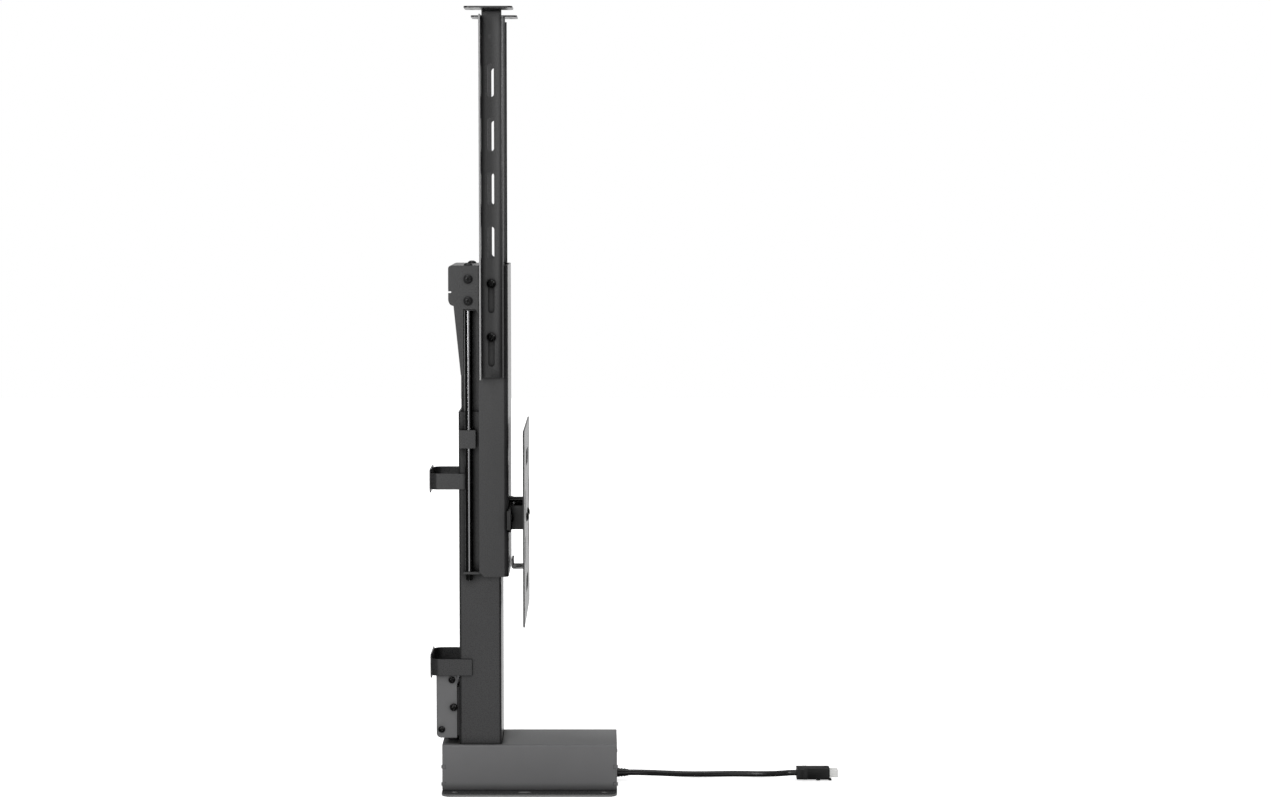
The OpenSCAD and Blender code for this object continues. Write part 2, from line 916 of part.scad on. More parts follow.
module cord_gland() {
    l = gland_l;
    rib = l / 8;
    color(black)
        translate([gland_x, -base_l / 2, gland_z])
            rotate([90, 0, 0]) {
                rotate_extrude()
                    polygon([
                        [0, -panel_t], [cable_d / 2 + 0.45, -panel_t], [cable_d / 2 + 0.45, 0],
                        [cable_d / 2 + 2, 0], [cable_d / 2 + 2, 2 * rib], [cable_d / 2 + 1.3, 2 * rib],
                        [cable_d / 2 + 1.3, 3 * rib], [cable_d / 2 + 1.8, 3 * rib],
                        [cable_d / 2 + 1.7, 4 * rib], [cable_d / 2 + 1, 4 * rib],
                        [cable_d / 2 + 1, 5 * rib], [cable_d / 2 + 1.5, 5 * rib],
                        [cable_d / 2 + 1.4, 6 * rib], [cable_d / 2 + 0.8, 6 * rib],
                        [cable_d / 2 + 0.6, l], [0, l]
                    ]);
            }
}

// Ring of points round the cable's middle line, square to its direction there
function route_way(i) =
    let (last = len(cable_route) - 1, ends = i == 0 || i == last)
    let (d = cable_route[min(i + 1, last)] - cable_route[max(i - 1, 0)])
    ends ? [0, -1, 0] : d / norm(d);
function ring_point(i, k) =
    let (a = k * 360 / cable_sides, way = route_way(i), side = cross(way, [0, 0, 1]), u = side / norm(side))
    cable_route[i] + cable_d / 2 * (cos(a) * u + sin(a) * cross(u, way));

module power_cable() {
    rings = len(cable_route);
    points = [for (i = [0:rings - 1], k = [0:cable_sides - 1]) ring_point(i, k)];
    wall = [for (i = [0:rings - 2], k = [0:cable_sides - 1])
        let (a = i * cable_sides + k, b = i * cable_sides + (k + 1) % cable_sides)
        each [[a, b, b + cable_sides], [a, b + cable_sides, a + cable_sides]]];
    start = [[for (k = [cable_sides - 1:-1:0]) k]];
    end = [[for (k = [0:cable_sides - 1]) (rings - 1) * cable_sides + k]];
    color(black)
        polyhedron(points = points, faces = concat(wall, start, end), convexity = 4);
}

module connector_body() {
    h = connector_h;
    color(black)
        translate(cable_end)
            rotate([90, 0, 0])
                difference() {
                    union() {
                        linear_extrude(connector_l)
                            round_rect(connector_w, h, 2);
                        translate([0, 0, connector_l * 0.2])
                            linear_extrude(connector_l * 0.12)
                                round_rect(connector_w + 1.4, h, 2);
                    }
                    translate([0, 0, connector_l - 8])
                        linear_extrude(8 + cut)
                            round_rect(connector_w - 5, h - 5, 1);
                }
}

// Lever under the connector, which rests on the floor
module connector_latch() {
    l = connector_l * 0.4;
    color(black)
        translate([cable_end[0] - 4, cable_end[1] - connector_l - 3, 0])
            difference() {
                cube([8, l + 3, cable_end[2] - connector_h / 2]);
                translate([-cut, 4, 0])
                    cube([8 + 2 * cut, l - 6, 1]);
            }
}

module connector_insert() {
    color(ivory)
        translate(cable_end - [0, connector_l - 8, 0])
            rotate([90, 0, 0])
                difference() {
                    linear_extrude(8 + 11)
                        round_rect(connector_w - 5, connector_h - 5, 1);
                    for (x = [-1, 0, 1], z = [-1, 1])
                        translate([x * 3.8, z * 2.2, 8 + 5])
                            linear_extrude(6 + cut)
                                square(2.4, center = true);
                }
}

// Carriage

module inner_stage() {
    color(dark)
        translate([0, axis_y, stage_bottom])
            linear_extrude(stage_l)
                round_tube(stage_w, stage_d, stage_r, stage_t);
}

module head_plate() {
    narrow = rod_x - rod_head_w / 2 - gap;
    color(dark)
        translate([0, 0, stage_top])
            linear_extrude(head_t)
                difference() {
                    union() {
                        translate([-sleeve_in + gap, sleeve_front + sleeve_t])
                            square([2 * (sleeve_in - gap), sleeve_rear - sleeve_front - sleeve_t]);
                        translate([-narrow, sleeve_front + sleeve_t])
                            square([2 * narrow, axis_y + stage_d / 2 - sleeve_front - sleeve_t]);
                    }
                    for (s = [-1, 1])
                        translate([s * sleeve_in, sleeve_front + sleeve_t])
                            circle(max(sleeve_r - sleeve_t, 0.5));
                }
}

module drive_nut() {
    color(ivory)
        translate([0, axis_y, stage_bottom])
            difference() {
                linear_extrude(nut_h)
                    round_rect(stage_w - 2 * stage_t, stage_d - 2 * stage_t, stage_in_r);
                translate([0, 0, -cut])
                    cylinder(d = screw_d + 2 * fit, h = nut_h + 2 * cut);
            }
}

module sleeve_outline() {
    difference() {
        union() {
            translate([0, sleeve_front + sleeve_d / 2])
                round_rect(sleeve_w, sleeve_d, sleeve_r);
            translate([-sleeve_x, sleeve_front + sleeve_r])
                square([sleeve_w, sleeve_d - sleeve_r]);
        }
        translate([0, sleeve_front + sleeve_t + sleeve_d / 2])
            round_rect(2 * sleeve_in, sleeve_d, max(sleeve_r - sleeve_t, 0.5));
        translate([-sleeve_in, sleeve_rear - sleeve_d / 2])
            square([2 * sleeve_in, sleeve_d]);
    }
}

module carriage_sleeve() {
    chamfer = 6;
    color(dark)
        difference() {
            translate([0, 0, sleeve_bottom])
                linear_extrude(sleeve_l)
                    sleeve_outline();
            along_x(-sleeve_w, 2 * sleeve_w)
                for (z = post_bolt_z)
                    translate([slot_y, z])
                        circle(d = bolt_d + 0.02);
            along_x(-sleeve_w, 2 * sleeve_w)
                polygon([
                    [sleeve_rear - chamfer, sleeve_bottom - cut], [sleeve_rear + cut, sleeve_bottom - cut],
                    [sleeve_rear + cut, sleeve_bottom + chamfer], [sleeve_rear, sleeve_bottom + chamfer],
                    [sleeve_rear - chamfer, sleeve_bottom]
                ]);
            along_y(sleeve_front - cut, sleeve_t + 2 * cut) {
                for (x = [-1, 1])
                    translate([x * rail_bolt_x, rail_bolt_z])
                        circle(d = bolt_d + 0.02);
                translate([0, hanger_bolt_z])
                    circle(d = hanger_bolt_d + 0.02);
            }
        }
}

// Side of the cap with its relief notch, the curve down to the sleeve's edge and the tapered tail
module cap_side() {
    rear = cap_rear;
    top = carriage_top;
    bend = 4;
    notch_z = top - cap_notch;
    arc = 6;
    tail_w = 3.5;
    tail_top = [rear - 6.5, cap_bottom];
    tail_end = [column_rear - 4.1, cap_bottom - cap_tail];
    curve = [5, 12];
    difference() {
        polygon(concat(
            [[sleeve_rear, cap_edge - curve[1]], [sleeve_rear, top]],
            [for (a = [0:15:90]) [rear - bend + bend * sin(a), top - bend + bend * cos(a)]],
            [[rear, notch_z + 1], [rear - 3.7, notch_z + 1], [rear - 3.7, notch_z - 1], [rear, notch_z - 1]],
            [for (a = [0:15:90]) [rear - arc + arc * cos(a), cap_bottom + arc * 1.4 * (1 - sin(a))]],
            [tail_top, tail_end, [tail_end[0] - tail_w, tail_end[1]], [tail_end[0] - tail_w, cap_edge]],
            [for (a = [90:-15:15])
                [sleeve_rear + curve[0] * (1 - cos(a)), cap_edge - curve[1] * (1 - sin(a))]]
        ));
        for (z = cap_bolt_z)
            translate([cap_bolt_y, z])
                circle(d = bolt_d + 0.02);
    }
}

module top_cap() {
    inner = cap_rear - sleeve_t;
    roof_hole = bolt_d + 0.02;
    color(dark) {
        difference() {
            union() {
                both_sides()
                    along_x(-sleeve_x, sleeve_t)
                        cap_side();
                intersection() {
                    along_x(-sleeve_x, sleeve_w)
                        cap_side();
                    union() {
                        translate([-sleeve_x, sleeve_rear, cap_roof])
                            cube([sleeve_w, cap_rear - sleeve_rear, sleeve_t]);
                        translate([-sleeve_x, inner, carriage_top - cap_notch + 1])
                            cube([sleeve_w, sleeve_t, cap_notch - 1]);
                    }
                }
                translate([-sleeve_in + gap, sleeve_front + sleeve_t + sleeve_r, cap_roof])
                    cube([2 * (sleeve_in - gap), sleeve_rear - sleeve_front - sleeve_t - sleeve_r, sleeve_t]);
            }
            both_sides()
                translate([-rod_x, rod_y, cap_roof - cut])
                    cylinder(d = roof_hole, h = sleeve_t + 2 * cut);
        }
    }
}

module cap_bolts() {
    color(black)
        both_sides() {
            for (z = cap_bolt_z)
                translate([-sleeve_x, cap_bolt_y, z])
                    rotate([0, -90, 0])
                        button_bolt(sleeve_t + clamp_l);
            translate([-rod_x, rod_y, carriage_top])
                button_bolt(sleeve_t + roof_bolt_l);
        }
}

// Block under the cap that carries the rod and takes the cap's bolts, drawn on the left
module rod_head(side) {
    color(dark)
        on_side(side)
            difference() {
                translate([-sleeve_in, rod_y - rod_head_l / 2, rod_top])
                    cube([sleeve_in - rod_x + rod_head_w / 2, rod_head_l, cap_roof - rod_top]);
                translate([-rod_x, rod_y, rod_top - cut])
                    cylinder(d = rod_spigot_d + 0.02, h = rod_spigot_l + cut);
                translate([-rod_x, rod_y, cap_roof - roof_bolt_l])
                    cylinder(d = bolt_d + 0.02, h = roof_bolt_l + cut);
                for (z = cap_bolt_z)
                    translate([-sleeve_x, cap_bolt_y, z])
                        rotate([0, 90, 0])
                            cylinder(d = bolt_d + 0.02, h = sleeve_t + clamp_l);
            }
}

module guide_rod(side) {
    color(black)
        on_side(side)
            translate([-rod_x, rod_y, 0]) {
                translate([0, 0, rod_bottom])
                    cylinder(d = rod_d, h = rod_top - rod_bottom);
                translate([0, 0, rod_top])
                    cylinder(d = rod_spigot_d, h = rod_spigot_l - 0.5);
                translate([0, 0, rod_foot_z - rod_nut_count * rod_nut_h - 1])
                    cylinder(d = rod_stud_d, h = rod_foot_t + rod_nut_count * rod_nut_h + 1);
            }
}

// Angle on the sleeve's wall that holds the rod's lower end, drawn on the left
module rod_foot(side) {
    low_edge = sleeve_front + sleeve_d / 2;
    wing = rod_y + 7;
    color(dark)
        on_side(side)
            translate([0, 0, rod_foot_z])
                difference() {
                    union() {
                        translate([-sleeve_in, low_edge, 0])
                            cube([sleeve_in - column_w / 2 - rod_foot_gap, wing - low_edge, rod_foot_t]);
                        translate([-sleeve_in, low_edge, 0])
                            cube([sleeve_t, sleeve_rear - low_edge, 16]);
                    }
                    translate([-rod_x, rod_y, -cut])
                        cylinder(d = rod_stud_d + 0.02, h = rod_foot_t + 2 * cut);
                }
}

module rod_nuts() {
    color(black)
        both_sides()
            for (i = [1:rod_nut_count])
                translate([-rod_x, rod_y, rod_foot_z - i * rod_nut_h])
                    hex_nut(rod_nut_w, rod_nut_h, rod_stud_d + 0.02);
}

module slide_shoes() {
    color(plastic)
        both_sides()
            along_y(sleeve_front + sleeve_t, sleeve_space - gap)
                translate([-30, sleeve_bottom + 20])
                    round_rect(20, 30, 3);
}

module cross_rail() {
    color(black)
        difference() {
            union() {
                along_y(rail_front, rail_t)
                    translate([0, rail_z + rail_h / 2])
                        round_rect(rail_w, rail_h, 3);
                both_sides()
                    translate([-rail_w / 2, rail_front, rail_z + 3])
                        cube([rail_w / 2 - sleeve_x - gap, rail_lip, rail_h - 6]);
            }
            along_y(rail_front - cut, rail_t + 2 * cut) {
                for (x = [-1, 1]) {
                    translate([x * rail_bolt_x, rail_bolt_z])
                        circle(d = bolt_d + 0.02);
                }
            }
        }
}

module rail_bolts() {
    color(black)
        both_sides()
            translate([-rail_bolt_x, rail_front, rail_bolt_z])
                rotate([90, 0, 0])
                    button_bolt(rail_t + sleeve_t + 2);
}

// Open box between the rail and the screen plate
module hanger_bracket() {
    l = rail_front - plate_back;
    flange = 14;
    color(dark)
        difference() {
            translate([0, 0, rail_z])
                linear_extrude(hanger_h)
                    difference() {
                        translate([-hanger_w / 2, plate_back])
                            square([hanger_w, l]);
                        translate([-hanger_w / 2 + hanger_t, plate_back + hanger_t])
                            square([hanger_w - 2 * hanger_t, l - 2 * hanger_t]);
                        translate([-hanger_w / 2 + flange, plate_back - cut])
                            square([hanger_w - 2 * flange, hanger_t + 2 * cut]);
                    }
            along_y(plate_back - cut, hanger_t + 2 * cut)
                for (x = [-1, 1])
                    translate([x * plate_bolt_x, plate_bolt_z])
                        circle(d = bolt_d + 0.02);
        }
}

// Spacer bolt above the hanger bracket, from the sleeve's front to the screen plate's back
module hanger_bolt() {
    color(black)
        translate([0, sleeve_front + sleeve_t, hanger_bolt_z])
            rotate([90, 0, 0]) {
                cylinder(d = hanger_bolt_d, h = sleeve_t + plate_off);
                translate([0, 0, sleeve_t])
                    cylinder(d = hanger_collar_d, h = 4);
            }
}

module screen_plate() {
    color(dark)
        along_y(plate_front, plate_t)
            difference() {
                translate([0, plate_z])
                    round_rect(plate_w, plate_h, plate_corner_r);
                for (x = [-1, 1], z = [-1, 1]) {
                    translate([x * screen_pitch / 2, plate_z + z * screen_pitch / 2])
                        circle(d = 6.5);
                    translate([x * screen_pitch_small / 2, plate_z + z * screen_pitch_small / 2])
                        circle(d = 5.2);
                }
                for (x = [-1, 1])
                    translate([x * plate_bolt_x, plate_bolt_z])
                        circle(d = bolt_d + 0.02);
                for (x = [-1, 1], z = [-1, 1])
                    translate([x * plate_w * 0.31, plate_z + z * plate_h * 0.12])
                        slot(plate_side_slot[0], plate_side_slot[1]);
                for (z = [-1, 1])
                    translate([0, plate_z + z * plate_h * 0.33])
                        rotate(90)
                            slot(plate_end_slot[0], plate_end_slot[1]);
            }
}

module plate_bolts() {
    color(black)
        both_sides()
            translate([-plate_bolt_x, plate_front, plate_bolt_z])
                rotate([90, 0, 0])
                    button_bolt(plate_t + hanger_t + 3);
}

// Bent tab from the screen plate towards the sleeve
module lower_tab() {
    r = 3;
    color(dark)
        along_x(-tab_w / 2, tab_w)
            difference() {
                union() {
                    translate([plate_back, tab_z])
                        square([tab_reach - r, tab_t]);
                    translate([plate_back + tab_reach - tab_t, tab_z + r])
                        square([tab_t, tab_lip - r]);
                    translate([plate_back + tab_reach - r, tab_z + r])
                        intersection() {
                            circle(r);
                            translate([0, -r])
                                square(r);
                        }
                    translate([plate_back, tab_z])
                        square([tab_t, 16]);
                }
                translate([plate_back + tab_reach - r, tab_z + r])
                    circle(r - tab_t);
            }
}

// Lid posts

// Channel that opens outwards, deep at the rear and with a short lip in front, drawn on the left with its lid plate
module lid_post(side) {
    out = -post_x - post_flange;
    web_h = post_l - lid_bend_r;
    hole_z = post_top - 34;
    color(dark)
        on_side(side)
            difference() {
                union() {
                    translate([0, 0, post_bottom])
                        linear_extrude(post_l - post_relief - lid_bend_r)
                            post_outline(out);
                    translate([-post_x - post_t, post_y - post_w / 2 + post_t, post_bottom])
                        cube([post_t, post_w - 2 * post_t, web_h]);
                    along_y(post_y - post_w / 2 + post_t, post_w - 2 * post_t)
                        translate([-post_x - lid_bend_r, post_top - lid_bend_r])
                            difference() {
                                intersection() {
                                    circle(lid_bend_r);
                                    square(lid_bend_r);
                                }
                                circle(lid_bend_r - post_t);
                            }
                    translate([-post_x - lid_bend_r - lid_plate_w / 2, post_y + lid_shift, post_top - post_t])
                        linear_extrude(post_t)
                            difference() {
                                union() {
                                    round_rect(lid_plate_w, lid_plate_l, 6);
                                    translate([lid_plate_w / 2 - 8, -post_w / 2 + post_t - lid_shift])
                                        square([8, post_w - 2 * post_t]);
                                }
                                for (x = [-1, 1], y = [-1, 1])
                                    translate([x * lid_hole_x / 2, y * lid_hole_y / 2])
                                        circle(d = lid_hole_d);
                            }
                }
                along_x(-post_x - 2 * post_t, 2 * post_t + cut) {
                    for (i = [0:slot_count - 1])
                        translate([slot_y, first_slot + i * slot_pitch - slot_l / 2])
                            slot(slot_l, slot_w);
                    translate([slot_y, hole_z])
                        circle(d = 5);
                }
            }
}

module post_outline(out) {
    r = 2.5;
    d = post_flange;
    difference() {
        union() {
            translate([out, post_y - post_w / 2])
                square([d - r, post_w]);
            translate([out + d / 2, post_y])
                round_rect(d, post_w, r);
        }
        translate([out - cut, post_y - post_w / 2 + post_t])
            square([d - post_t + cut, post_w - 2 * post_t]);
        translate([out - cut, post_y - post_w / 2 - cut])
            square([d - post_lip + cut, post_w / 2]);
    }
}

module post_bolts() {
    out = post_x + post_t + gap;
    color(black)
        both_sides()
            for (z = post_bolt_z)
                translate([-out, slot_y, z])
                    rotate([0, -90, 0]) {
                        cylinder(d = bolt_head_d + 0.6, h = washer_t);
                        translate([0, 0, washer_t])
                            button_bolt(washer_t + out - sleeve_in + post_nut_h + 1);
                    }
}

module post_nuts() {
    color(zinc)
        both_sides()
            for (z = post_bolt_z)
                translate([-sleeve_in, slot_y, z])
                    rotate([0, 90, 0])
                        hex_nut(post_nut_w, post_nut_h, bolt_d + 0.02);
}

base_plate();
base_cover();
front_panel();
rear_panel();
control_board();
column_foot();
foot_bolts();
outer_column();
glide_pads();
guide_bracket(-1);  // guide_bracket_left
guide_bracket(1);  // guide_bracket_right
guide_bush(-1);  // guide_bush_left
guide_bush(1);  // guide_bush_right
upper_cable_bracket();
lower_cable_bracket();
motor_bracket();
motor_housing();
housing_screws();
gearbox();
motor();
wire_grommet();
lower_bearing();
upper_bearing();
cord_gland();
power_cable();
connector_body();
connector_latch();
connector_insert();
drive_screw();
screw_gear();
screw_guide();
motor_pinion();
inner_stage();
head_plate();
drive_nut();
carriage_sleeve();
top_cap();
cap_bolts();
rod_head(-1);  // rod_head_left
rod_head(1);  // rod_head_right
guide_rod(-1);  // guide_rod_left
guide_rod(1);  // guide_rod_right
rod_foot(-1);  // rod_foot_left
rod_foot(1);  // rod_foot_right
rod_nuts();
slide_shoes();
cross_rail();
rail_bolts();
hanger_bracket();
hanger_bolt();
screen_plate();
plate_bolts();
lower_tab();
post_bolts();
post_nuts();
lid_post(-1);  // lid_post_left
lid_post(1);  // lid_post_right
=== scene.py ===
import json
import math

import bmesh
import bpy
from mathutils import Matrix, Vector


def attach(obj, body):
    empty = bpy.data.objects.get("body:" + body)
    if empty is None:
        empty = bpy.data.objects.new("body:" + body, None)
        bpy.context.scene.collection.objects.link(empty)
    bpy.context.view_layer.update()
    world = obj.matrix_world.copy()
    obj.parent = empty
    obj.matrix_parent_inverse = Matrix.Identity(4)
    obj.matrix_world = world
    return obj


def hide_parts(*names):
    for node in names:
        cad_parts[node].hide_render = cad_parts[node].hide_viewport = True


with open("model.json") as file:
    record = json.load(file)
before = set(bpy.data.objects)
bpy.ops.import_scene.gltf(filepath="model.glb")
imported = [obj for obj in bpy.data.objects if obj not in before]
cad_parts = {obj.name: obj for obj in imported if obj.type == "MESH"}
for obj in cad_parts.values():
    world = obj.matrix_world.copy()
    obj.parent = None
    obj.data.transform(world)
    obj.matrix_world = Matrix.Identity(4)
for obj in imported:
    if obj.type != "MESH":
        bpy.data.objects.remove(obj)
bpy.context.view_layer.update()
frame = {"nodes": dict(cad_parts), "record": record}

mm = 0.001

# in photo pixels; the photo's eye level gives the pitch, its vanishing point the shift
photo = {"width": 1271, "focal": 2600, "axisX": 600}
eye = {"place": (-3.280, -0.0888, 0.765), "pitch": 4.74, "heading": -90, "sensor": 36, "clipEnd": 50}


def addCamera():
    data = bpy.data.cameras.new("photoCamera")
    data.sensor_width = eye["sensor"]
    data.lens = eye["sensor"] * photo["focal"] / photo["width"]
    data.shift_x = (photo["width"] / 2 - photo["axisX"]) / photo["width"]
    data.clip_end = eye["clipEnd"]
    cam = bpy.data.objects.new("photoCamera", data)
    cam.location = eye["place"]
    cam.rotation_euler = (math.radians(90 - eye["pitch"]), 0, math.radians(eye["heading"]))
    bpy.context.scene.collection.objects.link(cam)
    bpy.context.scene.camera = cam


addCamera()
print("camera placed")


# materials: everything reads Object coordinates, so a pattern stays with its piece

def newMaterial(name):
    mat = bpy.data.materials.new(name)
    mat.use_nodes = True
    nodes = mat.node_tree.nodes
    links = mat.node_tree.links
    shader = nodes["Principled BSDF"]
    coord = nodes.new("ShaderNodeTexCoord")
    return mat, nodes, links, shader, coord


def addNoise(nodes, links, coord, scale, detail, stretch=None):
    noise = nodes.new("ShaderNodeTexNoise")
    noise.inputs["Scale"].default_value = scale
    noise.inputs["Detail"].default_value = detail
    if stretch:
        mapping = nodes.new("ShaderNodeMapping")
        mapping.inputs["Scale"].default_value = stretch
        links.new(coord.outputs["Object"], mapping.inputs["Vector"])
        links.new(mapping.outputs["Vector"], noise.inputs["Vector"])
    else:
        links.new(coord.outputs["Object"], noise.inputs["Vector"])
    return noise


def addRange(nodes, links, source, low, high, target):
    span = nodes.new("ShaderNodeMapRange")
    span.inputs["To Min"].default_value = low
    span.inputs["To Max"].default_value = high
    links.new(source, span.inputs["Value"])
    links.new(span.outputs["Result"], target)


def tint(colour, factor):
    return tuple(min(1, c * factor) for c in colour) + (1,)


def addShade(nodes, links, shader, source, colour, spread):
    mix = nodes.new("ShaderNodeMix")
    mix.data_type = "RGBA"
    mix.inputs["A"].default_value = tint(colour, 1 - spread)
    mix.inputs["B"].default_value = tint(colour, 1 + spread)
    links.new(source, mix.inputs["Factor"])
    links.new(mix.outputs["Result"], shader.inputs["Base Color"])


def addBump(nodes, links, shader, source, depth):
    bump = nodes.new("ShaderNodeBump")
    bump.inputs["Strength"].default_value = 1
    bump.inputs["Distance"].default_value = depth
    links.new(source, bump.inputs["Height"])
    links.new(bump.outputs["Normal"], shader.inputs["Normal"])


# colours are linear: the coats are near black, and most of what shows on them is the reflected studio;
# grain is a bump's depth and reach the width of the painted shade in corners and gaps, in metres
finishes = {
    "darkCoat": {"kind": "coat", "colour": (0.036, 0.036, 0.037), "rough": 0.27, "grain": 0.00003,
                 "reach": 0.013},
    # the same dark coat with a narrower painted shade in its corners
    "postCoat": {"kind": "coat", "colour": (0.036, 0.036, 0.037), "rough": 0.27, "grain": 0.00003,
                 "reach": 0.005},
    "greyCoat": {"kind": "coat", "colour": (0.165, 0.165, 0.168), "rough": 0.34, "grain": 0.00003,
                 "reach": 0.01},
    # base plate sides painted lighter than its top: a painted highlight
    "plateSideHighlight": {"kind": "coat", "colour": (0.2, 0.2, 0.2), "rough": 0.34, "grain": 0.00003},
    # light grey painted highlight for the posts' flange edges and the lower tab
    "flangeEdgeHighlight": {"kind": "coat", "colour": (0.42, 0.42, 0.42), "rough": 0.3, "grain": 0.00003},
    "blackRail": {"kind": "coat", "colour": (0.004, 0.004, 0.004), "rough": 0.3, "grain": 0.00002,
                  "reach": 0.01},
    "blackBolt": {"kind": "metal", "colour": (0.05, 0.05, 0.05), "rough": 0.24, "metallic": 0.9},
    "rodSteel": {"kind": "metal", "colour": (0.24, 0.24, 0.245), "rough": 0.13, "metallic": 1.0},
    "zinc": {"kind": "metal", "colour": (0.55, 0.55, 0.52), "rough": 0.34, "metallic": 1.0},
    "steel": {"kind": "brushed", "colour": (0.42, 0.42, 0.43), "rough": 0.3, "metallic": 1.0},
    # near black painted shade in the bolts' hex sockets
    "socketShade": {"kind": "plastic", "colour": (0.001, 0.001, 0.001), "rough": 0.7, "grain": 0.00001},
    "blackPlastic": {"kind": "plastic", "colour": (0.006, 0.006, 0.006), "rough": 0.42,
                     "grain": 0.00004},
    "cableRubber": {"kind": "plastic", "colour": (0.016, 0.016, 0.016), "rough": 0.26,
                    "grain": 0.00002},
    "palePlastic": {"kind": "plastic", "colour": (0.88, 0.88, 0.86), "rough": 0.35, "grain": 0.00002},
    "board": {"kind": "plastic", "colour": (0.012, 0.085, 0.03), "rough": 0.35, "grain": 0.00002},
}

# noise in waves a metre with its detail, the colour's spread, and the span round a finish's roughness
weaves = {
    "coat": {"cloud": (14, 4), "fine": (900, 2), "spread": 0.09, "span": (-0.06, 0.08)},
    "metal": {"fine": (700, 3), "spread": 0.12, "span": (-0.05, 0.09), "brush": (1, 1, 0.04)},
    "plastic": {"cloud": (40, 2), "fine": (1600, 2), "spread": 0.1, "span": (-0.05, 0.05)},
}
# painted shade in corners and gaps: the occlusion samples and power, how dark the colour goes, and the
# shine from shaded to open
corners = {"samples": 8, "power": 2.0, "shade": 0.3, "shine": (0, 0.5)}


# painted shade: an occlusion mask takes the shine and most of the colour from corners and narrow gaps
# between sheets
def addPaintedShade(nodes, links, shader, spec):
    near = nodes.new("ShaderNodeAmbientOcclusion")
    near.samples = corners["samples"]
    near.inputs["Distance"].default_value = spec["reach"]
    curve = nodes.new("ShaderNodeMath")
    curve.operation = "POWER"
    curve.inputs[1].default_value = corners["power"]
    links.new(near.outputs["AO"], curve.inputs[0])
    dim = nodes.new("ShaderNodeMix")
    dim.data_type = "RGBA"
    dim.inputs["A"].default_value = tint(spec["colour"], corners["shade"])
    links.new(curve.outputs["Value"], dim.inputs["Factor"])
    links.new(shader.inputs["Base Color"].links[0].from_socket, dim.inputs["B"])
    links.new(dim.outputs["Result"], shader.inputs["Base Color"])
    level = shader.inputs["Specular IOR Level"]
    addRange(nodes, links, curve.outputs["Value"], *corners["shine"], level)


def addRough(nodes, links, shader, source, rough, span):
    addRange(nodes, links, source, rough + span[0], rough + span[1], shader.inputs["Roughness"])


def makeCoat(name, spec):
    mat, nodes, links, shader, coord = newMaterial(name)
    weave = weaves["coat"]
    shader.inputs["Metallic"].default_value = 0
    cloud = addNoise(nodes, links, coord, *weave["cloud"]).outputs["Fac"]
    addShade(nodes, links, shader, cloud, spec["colour"], weave["spread"])
    # coats with a reach get painted shade in their corners and gaps
    if "reach" in spec:
        addPaintedShade(nodes, links, shader, spec)
    fine = addNoise(nodes, links, coord, *weave["fine"]).outputs["Fac"]
    addRough(nodes, links, shader, fine, spec["rough"], weave["span"])
    addBump(nodes, links, shader, fine, spec["grain"])
    return mat


def makeMetal(name, spec):
    mat, nodes, links, shader, coord = newMaterial(name)
    weave = weaves["metal"]
    shader.inputs["Metallic"].default_value = spec["metallic"]
    brush = weave["brush"] if spec["kind"] == "brushed" else None
    fine = addNoise(nodes, links, coord, *weave["fine"], brush).outputs["Fac"]
    addShade(nodes, links, shader, fine, spec["colour"], weave["spread"])
    addRough(nodes, links, shader, fine, spec["rough"], weave["span"])
    return mat


def makePlastic(name, spec):
    mat, nodes, links, shader, coord = newMaterial(name)
    weave = weaves["plastic"]
    cloud = addNoise(nodes, links, coord, *weave["cloud"]).outputs["Fac"]
    addShade(nodes, links, shader, cloud, spec["colour"], weave["spread"])
    addRough(nodes, links, shader, cloud, spec["rough"], weave["span"])
    fine = addNoise(nodes, links, coord, *weave["fine"]).outputs["Fac"]
    addBump(nodes, links, shader, fine, spec["grain"])
    return mat


makers = {"coat": makeCoat, "metal": makeMetal, "brushed": makeMetal, "plastic": makePlastic}
paint = {name: makers[spec["kind"]](name, spec) for name, spec in finishes.items()}
print("materials made:", len(paint))


def newPiece(name, mesh, body, slotName, *replaced):
    obj = bpy.data.objects.new(name, mesh)
    bpy.context.scene.collection.objects.link(obj)
    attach(obj, body)
    if replaced:
        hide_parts(*replaced)
    return obj


# cable: the same route as the solid's in millimetres, one smooth curve through its points

cable = {
    "diameter": 7.5, "steps": 4, "roundness": 6,
    "route": [
        (18, -125.3, 10.3), (18, -136, 10.3), (19.5, -150, 9.6), (22.5, -165, 8.4), (26, -180, 7),
        (29.5, -196, 5.6), (33, -212, 4.6), (36, -228, 4), (38, -244, 3.8), (39, -260, 3.8),
        (38.5, -276, 3.8), (36.5, -290, 4), (33, -303, 4.8), (28, -315, 6.2), (23.5, -326, 7.9),
        (20.5, -334, 9.2), (20, -342, 9.5),
    ],
}


def smoothRoute(points, steps):
    path = []
    for i in range(len(points) - 1):
        before = points[max(i - 1, 0)]
        here, there = points[i], points[i + 1]
        after = points[min(i + 2, len(points) - 1)]
        for k in range(steps):
            t = k / steps
            path.append(0.5 * (2 * here + (there - before) * t
                               + (2 * before - 5 * here + 4 * there - after) * t * t
                               + (3 * here - before - 3 * there + after) * t ** 3))
    path.append(points[-1])
    return path


def addCable():
    points = [Vector(point) * mm for point in cable["route"]]
    path = smoothRoute(points, cable["steps"])
    curve = bpy.data.curves.new("power_cable_flex", "CURVE")
    curve.dimensions = "3D"
    curve.bevel_depth = cable["diameter"] / 2 * mm
    curve.bevel_resolution = cable["roundness"]
    curve.use_fill_caps = True
    spline = curve.splines.new("POLY")
    spline.points.add(len(path) - 1)
    for i, p in enumerate(path):
        spline.points[i].co = (*p, 1)
    spline.use_smooth = True
    curve.materials.append(paint["cableRubber"])
    flex = newPiece("power_cable_flex", curve, "base", "black_rubber", "power_cable")
    length = sum((path[i + 1] - path[i]).length for i in range(len(path) - 1))
    return flex, path, length


flex, flexPath, flexLength = addCable()
print("cable length", round(flexLength, 4))


# dressed copies of the frame's nodes: merged, with edges rounded by the given millimetres

